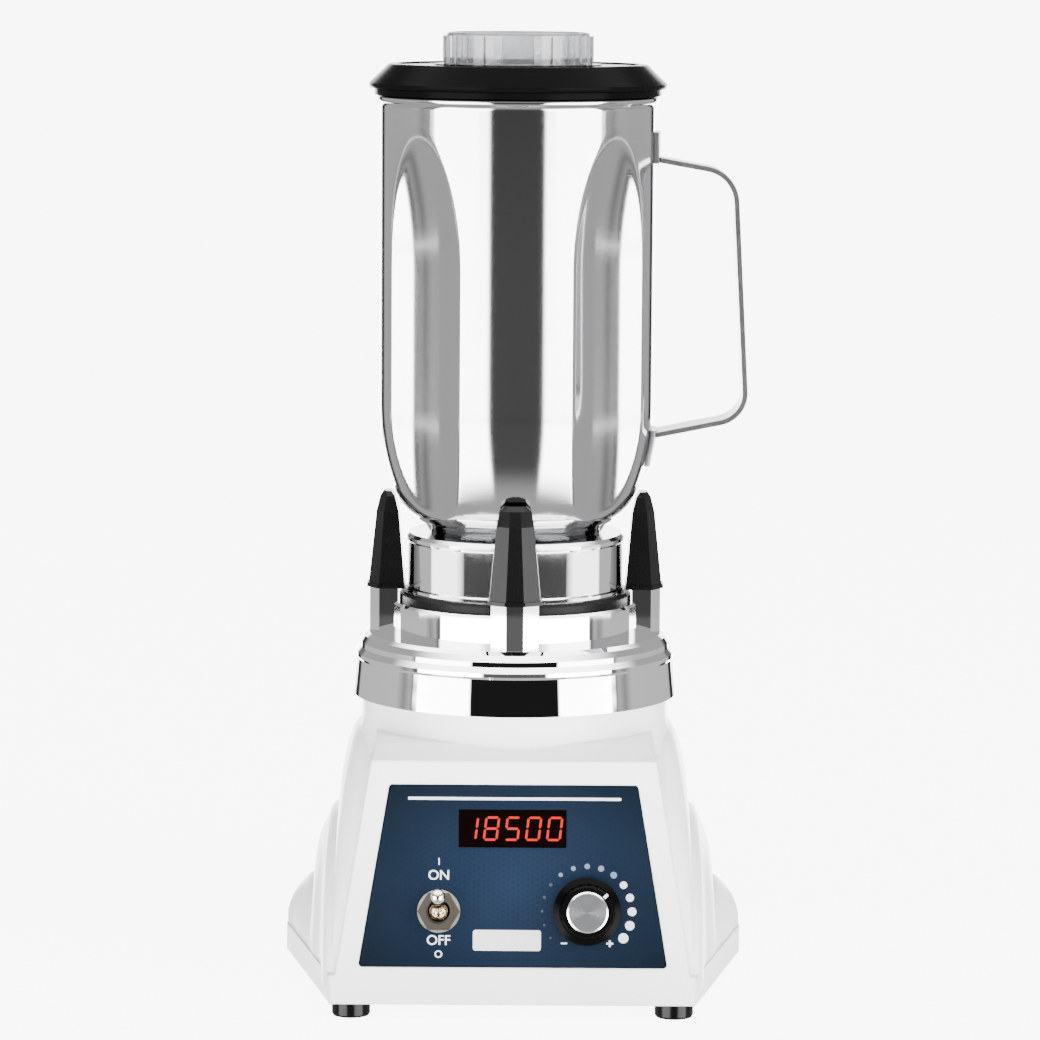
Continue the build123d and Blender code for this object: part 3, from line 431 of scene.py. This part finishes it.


# Printed blue overlay under a close net of dots, with a painted pool of light in the middle and painted shade
# towards its edges
def panelFinish(s):
    material, tree, shader = newMaterial("panelOverlay")
    coord = tree.nodes.new("ShaderNodeTexCoord")
    place = tree.nodes.new("ShaderNodeMapping")
    place.vector_type = "TEXTURE"
    place.inputs["Location"].default_value = s["paintedLightCentre"]
    place.inputs["Scale"].default_value = s["paintedLightReach"]
    tree.links.new(coord.outputs["Object"], place.inputs["Vector"])
    # Painted light: a spherical fade from the lit middle tone out to the shaded edge tone
    paintedLightFade = tree.nodes.new("ShaderNodeTexGradient")
    paintedLightFade.gradient_type = "SPHERICAL"
    tree.links.new(place.outputs["Vector"], paintedLightFade.inputs["Vector"])
    litAndShadedBlue = blend(tree, paintedLightFade.outputs["Fac"], s["paintedShadeTone"] + (1,), s["paintedLightTone"] + (1,))
    dots = placeGroup(tree, "dots", {"Pitch": s["dotPitch"]})
    inked = maths(tree, "MULTIPLY", dots.outputs["Dots"], s["dotDepth"])
    printed = blend(tree, inked, litAndShadedBlue, s["dotTone"] + (1,))
    tree.links.new(printed, shader.inputs["Base Color"])
    surface = placeGroup(tree, "mottle", {"Patch Scale": s["patch"], "Speckle Scale": s["speckle"],
                                          "Low": s["rough"][0], "High": s["rough"][1]})
    tree.links.new(surface.outputs["Roughness"], shader.inputs["Roughness"])
    shader.inputs["Specular IOR Level"].default_value = s["specular"]
    addBump(tree, shader, surface.outputs["Height"], s["bump"], s["bumpDepth"])
    return material


finish = {
    "housing": mouldedFinish("housingEnamel", (0.80, 0.80, 0.795), (0.84, 0.84, 0.835), (0.28, 0.36),
                             patch=18.0, speckle=1100.0, bump=0.06, specular=0.3, coat=(0.12, 0.08),
                             edge=0.0018),
    "panel": panelFinish(panelLook),
    "window": mouldedFinish("displayWindow", (0.0010, 0.0004, 0.0004), (0.0018, 0.0006, 0.0006), (0.06, 0.12),
                            bump=0.02, specular=0.03),
    "digits": glowFinish("displayDigits", (1.0, 0.028, 0.010), 1.4),
    "rubber": mouldedFinish("blackRubber", (0.0018, 0.0018, 0.0019), (0.0030, 0.0030, 0.0031), (0.17, 0.24),
                            patch=45.0, speckle=2200.0, bump=0.10, specular=0.12),
    "lid": mouldedFinish("lidRubber", (0.0012, 0.0012, 0.0013), (0.0021, 0.0021, 0.0022), (0.16, 0.24),
                         patch=30.0, speckle=1900.0, bump=0.08, specular=0.008),
    "pad": mouldedFinish("padRubber", (0.0022, 0.0022, 0.0023), (0.0036, 0.0036, 0.0037), (0.35, 0.5),
                         patch=50.0, speckle=1700.0, bump=0.2, specular=0.08),
    "blackPlastic": mouldedFinish("blackPlastic", (0.0012, 0.0011, 0.0011), (0.0020, 0.0018, 0.0018),
                                  (0.14, 0.22), patch=60.0, speckle=2600.0, bump=0.05, specular=0.022),
    "whitePrint": mouldedFinish("whitePrint", (0.62, 0.63, 0.64), (0.52, 0.54, 0.56), (0.4, 0.5), patch=300.0,
                                speckle=4000.0),
    "board": mouldedFinish("circuitBoard", (0.010, 0.090, 0.035), (0.016, 0.130, 0.050), (0.3, 0.4),
                           patch=200.0, speckle=1500.0, bump=0.3),
    "copperWire": mouldedFinish("enamelledWire", (0.42, 0.13, 0.035), (0.55, 0.20, 0.06), (0.22, 0.35),
                                patch=400.0, speckle=1200.0, bump=0.4),
    "carbon": mouldedFinish("pressedCarbon", (0.02, 0.02, 0.02), (0.035, 0.035, 0.035), (0.5, 0.65),
                            patch=500.0),
    "laminations": mouldedFinish("varnishedLaminations", (0.09, 0.095, 0.10), (0.13, 0.135, 0.14),
                                 (0.35, 0.5), patch=120.0, speckle=900.0, bump=0.4),
    "sealPlastic": mouldedFinish("sealPlastic", (0.78, 0.77, 0.72), (0.83, 0.82, 0.78), (0.4, 0.5)),
    "clear": clearFinish("clearPlastic", (0.76, 0.77, 0.78), (0.62, 0.63, 0.64), (0.06, 0.16), clearness=0.92,
                         ior=1.42, patch=60.0, speckle=700.0, bump=0.25, depth=0.0001),
    "chrome": metalFinish("polishedChrome", (0.86, 0.865, 0.875), (0.010, 0.016), scale=260.0, bump=0.02),
    "nickel": metalFinish("nickelPlate", (0.80, 0.74, 0.64), (0.06, 0.12), scale=500.0, bump=0.04),
    "satinNickel": metalFinish("satinNickel", (0.74, 0.70, 0.62), (0.36, 0.42), scale=500.0, bump=0.04),
    "bronze": metalFinish("darkBronze", (0.40, 0.36, 0.31), (0.10, 0.18), scale=500.0, bump=0.04),
    "jarSteel": metalFinish("brushedJarSteel", (0.50, 0.502, 0.505), (0.08, 0.14), stretch=(0.05, 0.05, 4.0),
                            scale=1500.0, bump=0.05, depth=0.00001, directional=0.7),
    "stripSteel": metalFinish("stripSteel", (0.50, 0.505, 0.51), (0.27, 0.33), stretch=(0.3, 3.0, 0.3),
                              scale=900.0, bump=0.03),
    "zinc": metalFinish("zincPlate", (0.60, 0.61, 0.62), (0.25, 0.4), scale=300.0, bump=0.2),
    "ground": metalFinish("groundSteel", (0.60, 0.61, 0.63), (0.12, 0.22), stretch=(1, 1, 3), scale=900.0,
                          bump=0.1),
    "aluminium": metalFinish("castAluminium", (0.75, 0.76, 0.78), (0.32, 0.48), scale=500.0, bump=0.3),
    "spun": metalFinish("spunAluminium", (0.80, 0.81, 0.83), (0.14, 0.24), scale=900.0, bump=0.1,
                        directional=0.8, along="Y"),
    "brass": metalFinish("turnedBrass", (0.80, 0.58, 0.28), (0.15, 0.28), stretch=(1, 1, 4), scale=500.0,
                         bump=0.15),
    "copperBars": metalFinish("turnedCopper", (0.82, 0.42, 0.25), (0.15, 0.28), stretch=(1, 1, 4),
                              scale=500.0),
}

# Which finish each CAD node takes
cadFinish = {
    "housing": ["base_housing"],
    "panel": ["control_panel"],
    "window": ["display_window"],
    "rubber": ["feet", "post_caps", "vibration_mounts", "jar_gasket", "driven_coupling"],
    "lid": ["lid"],
    "pad": ["jar_seat_pad"],
    "blackPlastic": ["led_display", "speed_knob", "potentiometer", "speed_sensor", "power_inlet",
                     "cooling_fan", "tach_magnet"],
    "whitePrint": ["knob_pointer"],
    "board": ["display_board", "control_board"],
    "copperWire": ["field_coils", "armature_windings"],
    "carbon": ["brushes"],
    "laminations": ["stator_core", "armature_core"],
    "sealPlastic": ["shaft_seal"],
    "clear": ["lid_cap"],
    "chrome": ["collar", "jar_base"],
    "nickel": ["toggle_lever"],
    "satinNickel": ["toggle_washer"],
    "bronze": ["toggle_body", "toggle_nut"],
    "jarSteel": ["jar_body"],
    "stripSteel": ["jar_handle"],
    "zinc": ["base_plate", "base_screws", "collar_screws", "pot_nut", "motor_bolts",
             "brush_springs", "small_screws", "jar_nut"],
    "ground": ["motor_bearings", "motor_shaft", "drive_coupling", "blade_housing", "blade_shaft",
               "lower_blades", "upper_blades", "blade_nut"],
    "aluminium": ["top_bracket", "bottom_bracket", "board_heatsink", "pot_shaft"],
    "spun": ["knob_cap"],
    "brass": ["brush_holders", "inlet_pins", "blade_bushings"],
    "copperBars": ["commutator"],
}
for key, names in cadFinish.items():
    for name in names:
        obj = nodes[name]
        if not obj.data.materials:
            obj.data.materials.append(finish[key])
        for entry in obj.material_slots:
            entry.material = finish[key]
unpainted = sorted(set(nodes) - {name for names in cadFinish.values() for name in names})
print("materials ready, unpainted nodes:", unpainted)


# New pieces
def addPiece(name, mesh, material, body):
    mesh.materials.append(material)
    mesh.update()
    piece = link(bpy.data.objects.new(name, mesh))
    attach(piece, body)
    return piece


# Jar: one smooth shell with four flutes
jar = {
    "radius": 55.0, "wall": 1.2, "topZ": 355.2, "wallFootZ": 232.0,
    "shoulder": (48.5, 197.0),      # radius and height where the long arc meets the tight one
    "heel": (37.0, 184.0),          # and where the tight one ends
    "floorZ": 180.0, "floorEdge": 34.5, "holeRadius": 9.2,
    "floorPull": 0.56,              # how far the floor's edge moves in for each millimetre of wall
    "outerGap": 3.0,                # how far below the top the outer face gives way to the rim's bead
    "innerGap": 0.4,
    # Outward and upward from the top of the wall's outer face
    "rimBead": [(0.45, -2.8), (0.95, -2.2), (1.1, -1.5), (1.0, -0.75), (0.5, -0.2), (0.0, 0.0), (-0.6, -0.1)],
    "grooveRadius": 58.0, "grooveDepth": 7.0, "grooveStartZ": 338.0, "grooveFullZ": 288.0,
    "tuckStartZ": 232.0, "tuck": 0.0023,    # the flute's foot follows the rounded bottom
    "flutedFrom": 20.0,             # no flutes nearer the axis than this
    "rounding": 1.1,                # how softly a flute meets the wall
    "steps": {"floor": 12, "tight": 16, "long": 20, "wall": 72, "around": 384},
}


# Radius and height along the floor, a tight arc, a long arc and the straight wall, pulled in by inset. The
# long arc runs into the wall without a bend, and the tight one into the long one.
def jarOutline(s, inset, topGap):
    steps = s["steps"]
    shoulder, heel = np.array(s["shoulder"]), np.array(s["heel"])
    tuck, drop = s["radius"] - shoulder[0], s["wallFootZ"] - shoulder[1]
    longRadius = (tuck ** 2 + drop ** 2) / (2 * tuck)
    longCentre = np.array([s["radius"] - longRadius, s["wallFootZ"]])
    outward = (shoulder - longCentre) / np.linalg.norm(shoulder - longCentre)
    chord = shoulder - heel
    tightRadius = chord @ chord / (2 * chord @ outward)
    tightCentre = shoulder - outward * tightRadius
    down = (heel - tightCentre) / np.linalg.norm(heel - tightCentre)
    atShoulder, atHeel = math.atan2(outward[1], outward[0]), math.atan2(down[1], down[0])

    def arc(centre, radius, angle):
        return centre + (radius - inset) * np.column_stack([np.cos(angle), np.sin(angle)])

    floorRadius = np.linspace(s["holeRadius"], s["floorEdge"] - s["floorPull"] * inset, steps["floor"])
    floor = np.column_stack([floorRadius, np.full(steps["floor"], s["floorZ"] + inset)])
    tight = arc(tightCentre, tightRadius, np.linspace(atHeel, atShoulder, steps["tight"]))
    long = arc(longCentre, longRadius, np.linspace(atShoulder, 0, steps["long"])[1:])
    heights = np.linspace(s["wallFootZ"], s["topZ"] - topGap, steps["wall"])[1:]
    wall = np.column_stack([np.full(len(heights), s["radius"] - inset), heights])
    return np.vstack([floor, tight, long, wall])


# Quads between neighbouring points of a rows by columns grid that closes on itself both ways
def closedGrid(rows, columns):
    row, column = np.meshgrid(np.arange(rows), np.arange(columns), indexing="ij")
    nextRow, nextColumn = (row + 1) % rows * columns, (column + 1) % columns
    row = row * columns
    quads = [row + column, row + nextColumn, nextRow + nextColumn, nextRow + column]
    return np.stack(quads, axis=-1).reshape(-1, 4)


# A point at angle a and height z has the smaller of the outline's radius and the distance from the axis to
# the nearest round cutter, with a rounded join of the two. The cutter stands upright, curves away outwards at
# the top and tucks in at the bottom.
def buildJar(s):
    outer, inner = jarOutline(s, 0.0, s["outerGap"]), jarOutline(s, s["wall"], s["innerGap"])
    rim = np.array([s["radius"], s["topZ"]]) + s["rimBead"]
    profile = np.vstack([outer, rim, inner[::-1]])
    inset = np.repeat([0.0, s["wall"]], [len(outer) + len(rim), len(inner)])
    around = s["steps"]["around"]
    angle = np.arange(around) * 2 * np.pi / around
    folded = (angle + np.pi / 4) % (np.pi / 2) - np.pi / 4     # angle from the nearest quarter turn
    offGroove = np.abs(np.abs(folded) - np.pi / 4)             # angle from the nearest flute's middle
    above = np.maximum(profile[:, 1] - s["grooveFullZ"], 0) / (s["grooveStartZ"] - s["grooveFullZ"])
    runOut = s["grooveDepth"] * above ** 2
    foot = s["tuck"] * np.maximum(s["tuckStartZ"] - profile[:, 1], 0) ** 2
    centre = (s["radius"] + s["grooveRadius"] - s["grooveDepth"] + runOut - foot)[:, None]
    reach = (s["grooveRadius"] + inset)[:, None] ** 2 - (centre * np.sin(offGroove)) ** 2
    cuts = (reach > 0) & (profile[:, :1] > s["flutedFrom"])
    groove = np.where(cuts, centre * np.cos(offGroove) - np.sqrt(np.maximum(reach, 0)), np.inf)
    plain = np.repeat(profile[:, :1], around, axis=1)
    near = np.maximum(s["rounding"] - np.abs(plain - groove), 0) / s["rounding"]
    radius = np.minimum(plain, groove) - near ** 2 * s["rounding"] / 4
    heights = np.repeat(profile[:, 1:], around, axis=1)
    points = np.stack([radius * np.cos(angle), radius * np.sin(angle), heights], axis=-1) * mm
    faces = closedGrid(len(profile), around)
    mesh = bpy.data.meshes.new("jarShell")
    mesh.from_pydata(points.reshape(-1, 3).tolist(), [], faces.tolist())
    mesh.polygons.foreach_set("use_smooth", [True] * len(faces))
    piece = addPiece("jarShell", mesh, finish["jarSteel"], "jar")
    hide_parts("jar_body")


buildJar(jar)
print("jar ready")


# Places on the tilted control panel: x, height z and lift off the housing's front face, in millimetres
face = {
    "footY": -89.3, "footZ": 6.0,
    "slope": 0.188375,              # how far the face leans back for each millimetre up
    "printLift": -0.5,              # the panel lies this much below the housing's face
    "inkHeight": 0.08,
    "cornerSteps": 7,
}
tiltLength = math.hypot(1, face["slope"])
upPanel = np.array([0, face["slope"], 1]) / tiltLength
outOfPanel = np.array([0, -1, face["slope"]]) / tiltLength


# Points of a flat drawing, moved to the panel with its middle at x and z. flat holds (right, up).
def onPanel(x, z, flat, lift):
    flat = np.asarray(flat, float)
    origin = np.array([x, face["footY"] + (z - face["footZ"]) * face["slope"], z])
    moved = origin + flat[:, :1] * np.array([1.0, 0, 0]) + flat[:, 1:2] * upPanel
    return (moved + np.asarray(lift).reshape(-1, 1) * outOfPanel) * mm


# Thin closed plates from outlines that run anticlockwise: a face above, one below and a wall round each
def addPlates(name, outlines, x, z, material, low=face["printLift"], thick=face["inkHeight"]):
    points, faces, base = [], [], 0
    for outline in outlines:
        points += [onPanel(x, z, outline, low + thick), onPanel(x, z, outline, low)]
        upper = base + np.arange(len(outline))
        lower = upper + len(outline)
        walls = np.column_stack([upper, lower, np.roll(lower, -1), np.roll(upper, -1)])
        faces += [upper.tolist(), lower[::-1].tolist()] + walls.tolist()
        base += 2 * len(outline)
    mesh = bpy.data.meshes.new(name)
    mesh.from_pydata(np.vstack(points).tolist(), [], faces)
    addPiece(name, mesh, material, "base")


def ring(radius, steps, centre):
    turn = np.arange(steps) * 2 * np.pi / steps
    return np.column_stack([centre[0] + radius * np.cos(turn), centre[1] + radius * np.sin(turn)])


# A rectangle round its centre, with four quarter rounds where it has a corner radius
def box(width, height, centre=(0.0, 0.0), corner=0.0):
    if not corner:
        w, h = width / 2, height / 2
        return np.array([(-w, -h), (w, -h), (w, h), (-w, h)]) + centre
    points = []
    for sideX, sideY, start in ((1, -1, -90), (1, 1, 0), (-1, 1, 90), (-1, -1, 180)):
        turn = np.radians(start + np.linspace(0, 90, face["cornerSteps"]))
        points.append(np.column_stack([sideX * (width / 2 - corner) + corner * np.cos(turn),
                                       sideY * (height / 2 - corner) + corner * np.sin(turn)]))
    return np.vstack(points) + centre


# Digits of the display: seven bars with pointed ends, leaning to the right
display = {
    "x": -0.35, "z": 73.2, "text": "18500",
    "height": 8.6, "width": 4.9, "pitch": 8.2,
    "bar": 0.95, "gap": 0.16,       # a bar's thickness, and how far it stops short of a corner
    "lean": 0.12,
    "lift": -0.6, "thick": 0.06,
}
barEnds = {                         # in half widths and half heights
    "a": ((-1, 1), (1, 1)), "b": ((1, 0), (1, 1)), "c": ((1, -1), (1, 0)), "d": ((-1, -1), (1, -1)),
    "e": ((-1, -1), (-1, 0)), "f": ((-1, 0), (-1, 1)), "g": ((-1, 0), (1, 0)),
}
litBars = {"0": "abcdef", "1": "bc", "5": "acdfg", "8": "abcdefg"}


# Each bar is a long hexagon between its two ends
def digitBars(mark, s):
    half = np.array([s["width"], s["height"]]) / 2
    bars = []
    for key in litBars[mark]:
        a, b = np.array(barEnds[key]) * half
        along = (b - a) / np.linalg.norm(b - a)
        across = np.array([-along[1], along[0]]) * s["bar"] / 2
        a, b = a + along * s["gap"], b - along * s["gap"]
        cut = along * s["bar"] / 2
        bars.append(np.array([a, a + cut - across, b - cut - across, b, b - cut + across, a + cut + across]))
    return bars


def buildDigits(s):
    outlines = []
    for i, mark in enumerate(s["text"]):
        middle = (i - (len(s["text"]) - 1) / 2) * s["pitch"]
        for bar in digitBars(mark, s):
            bar[:, 0] += s["lean"] * bar[:, 1] + middle
            outlines.append(bar)
    addPlates("displayDigits", outlines, s["x"], s["z"], finish["digits"],
              low=s["lift"], thick=s["thick"])


buildDigits(display)

# Print round the dial: dots that grow and brighten in three inks, and a minus and a plus
dial = {
    "x": 28.8, "z": 41.8, "radius": 17.5,
    "count": 15, "from": 216.0, "to": -36.0,    # degrees anticlockwise from the right
    "small": 0.4, "large": 1.95, "growth": 1.2, "dotSteps": 24,
    "inks": {"dim": (0.016, 0.034, 0.060), "mid": (0.10, 0.14, 0.20), "bright": (0.56, 0.60, 0.64)},
    "thinInk": 0.93,                            # the ink's tone in its thin patches
    "signX": 8.9, "signZ": -12.4,               # from the dial's middle
    "minus": (2.4, 0.6), "plus": (2.6, 0.7), "uprightThick": 0.1,
}


def buildDial(s):
    share = np.linspace(0, 1, s["count"])
    turn = np.radians(s["from"] + (s["to"] - s["from"]) * share)
    tiers = len(s["inks"])
    tierOf = np.minimum((share * tiers).astype(int), tiers - 1)
    for tier, (name, tone) in enumerate(s["inks"].items()):
        thinner = tuple(s["thinInk"] * part for part in tone)
        material = mouldedFinish(name + "DotInk", tone, thinner, (0.4, 0.5), patch=300.0, speckle=4000.0)
        outlines = [ring(s["small"] + (s["large"] - s["small"]) * grown ** s["growth"], s["dotSteps"],
                         (s["radius"] * math.cos(at), s["radius"] * math.sin(at)))
                    for grown, at in zip(share[tierOf == tier], turn[tierOf == tier])]
        addPlates(name + "DialDots", outlines, s["x"], s["z"], material)
    minus = box(*s["minus"], (-s["signX"], s["signZ"]))
    level = box(*s["plus"], (s["signX"], s["signZ"]))
    upright = box(*s["plus"][::-1], (s["signX"], s["signZ"]))
    addPlates("dialSigns", [minus, level], s["x"], s["z"], finish["whitePrint"])
    addPlates("plusUpright", [upright], s["x"], s["z"], finish["whitePrint"],
              thick=s["uprightThick"])


buildDial(dial)

# A plain rule across the panel's head and a blank plate at its foot
bareMarks = {
    "titleRule": {"x": 0.4, "z": 84.6, "size": (83.0, 1.1), "corner": 0.4},
    "blankPlate": {"x": -2.3, "z": 30.6, "size": (26.4, 8.0), "corner": 1.0},
}
for name, s in bareMarks.items():
    outline = box(*s["size"], corner=s["corner"])
    addPlates(name, [outline], s["x"], s["z"], finish["whitePrint"])

# Marks over and under the switch
switchPrint = {
    "x": -28.9,
    "marks": [("I", 60.4, 2.6), ("ON", 55.2, 3.8), ("OFF", 30.4, 3.8), ("O", 25.1, 2.8)],   # word, z, size
    "fontScale": 1.4,               # the font's size for each millimetre of a letter's height
    "halfThick": 0.04,
    "bolder": 0.06,                 # how far the letters' edges are moved out
}


# A word is made a mesh, and then each of its points is placed on the panel
def buildWord(word, z, size, index, s):
    curve = bpy.data.curves.new(f"switchMark{index}", "FONT")
    curve.body = word
    curve.size = size * s["fontScale"] * mm
    curve.align_x, curve.align_y = "CENTER", "CENTER"
    curve.extrude = s["halfThick"] * mm
    curve.offset = s["bolder"] * mm
    text = link(bpy.data.objects.new(f"switchWord{index}", curve))
    bpy.context.view_layer.update()
    mesh = bpy.data.meshes.new_from_object(text.evaluated_get(bpy.context.evaluated_depsgraph_get()))
    bpy.data.objects.remove(text)
    flat = np.zeros(len(mesh.vertices) * 3)
    mesh.vertices.foreach_get("co", flat)
    flat = flat.reshape(-1, 3) / mm
    placed = onPanel(s["x"], z, flat[:, :2], face["printLift"] + s["halfThick"] + flat[:, 2])
    mesh.vertices.foreach_set("co", placed.ravel())
    mesh.materials.clear()
    addPiece(f"switchMark{index}", mesh, finish["whitePrint"], "base")


for index, (word, z, size) in enumerate(switchPrint["marks"]):
    buildWord(word, z, size, index, switchPrint)
print("panel ready")

bpy.context.view_layer.update()
